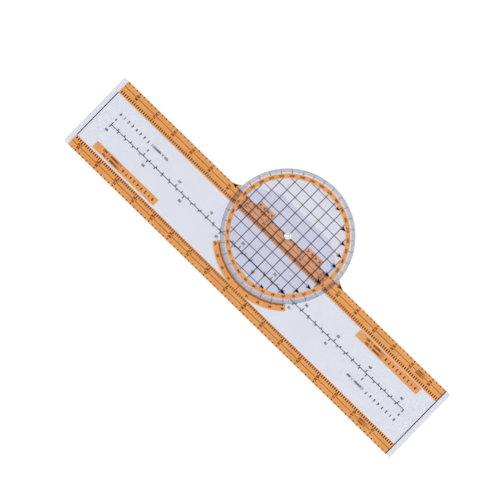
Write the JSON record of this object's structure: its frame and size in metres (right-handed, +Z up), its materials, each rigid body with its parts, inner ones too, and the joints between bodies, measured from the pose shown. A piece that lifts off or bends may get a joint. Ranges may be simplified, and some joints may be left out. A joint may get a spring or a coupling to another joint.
{
  "type": "rotating azimuth course plotter",
  "caption": "Clear ruler with printed chart scales, and a clear azimuth disc that turns on a hollow eyelet at the middle of one long edge, for laying off courses.",
  "frame": {"origin": "on the eyelet's axis, on the surface that the plotter lies on", "axes": "+X along the ruler, +Y from the pivot edge to the far edge, +Z up through the printed side; north on the disc points to -X at rest"},
  "size_m": [0.3302, 0.1127, 0.0026],
  "materials": {
    "clear_plate": "clear sheet with a faint blue tint",
    "clear_disc": "clear sheet, greyer than the ruler",
    "orange_ink": "satin orange ink",
    "dark_ink": "satin black ink",
    "white_washer": "plain white",
    "eyelet_metal": "satin"
  },
  "bodies": {
    "ruler": {"base_plate": "clear_plate", "pivot_band": "orange_ink", "far_band": "orange_ink", "pivot_label_panel": "orange_ink", "far_label_panel": "orange_ink", "tab_panels": "orange_ink", "flare_panels": "orange_ink", "arc_band": "orange_ink", "end_lines": "dark_ink", "pivot_outer_scale": "dark_ink", "pivot_inner_scale": "dark_ink", "far_outer_scale": "dark_ink", "far_inner_scale": "dark_ink", "band_mid_lines": "dark_ink", "pivot_numerals": "dark_ink", "far_numerals": "dark_ink", "centre_scale": "dark_ink", "centre_numerals": "dark_ink", "centre_marks": "dark_ink", "panel_marks": "dark_ink", "course_arrow": "dark_ink", "arc_ticks": "dark_ink", "arc_numerals": "dark_ink", "slip_washer": "white_washer", "backing_washer": "eyelet_metal", "eyelet": "eyelet_metal"},
    "disc": {"azimuth_disc": "clear_disc", "number_ring": "orange_ink", "degree_ticks": "dark_ink", "grid_lines": "dark_ink", "north_arrows": "dark_ink", "disc_numerals": "dark_ink"}
  },
  "joints": [
    {"name": "disc_turn", "type": "hinge", "parent": "ruler", "child": "disc", "pos_m": [0, 0, 0], "axis": [0, 0, 1], "continuous": true}
  ]
}
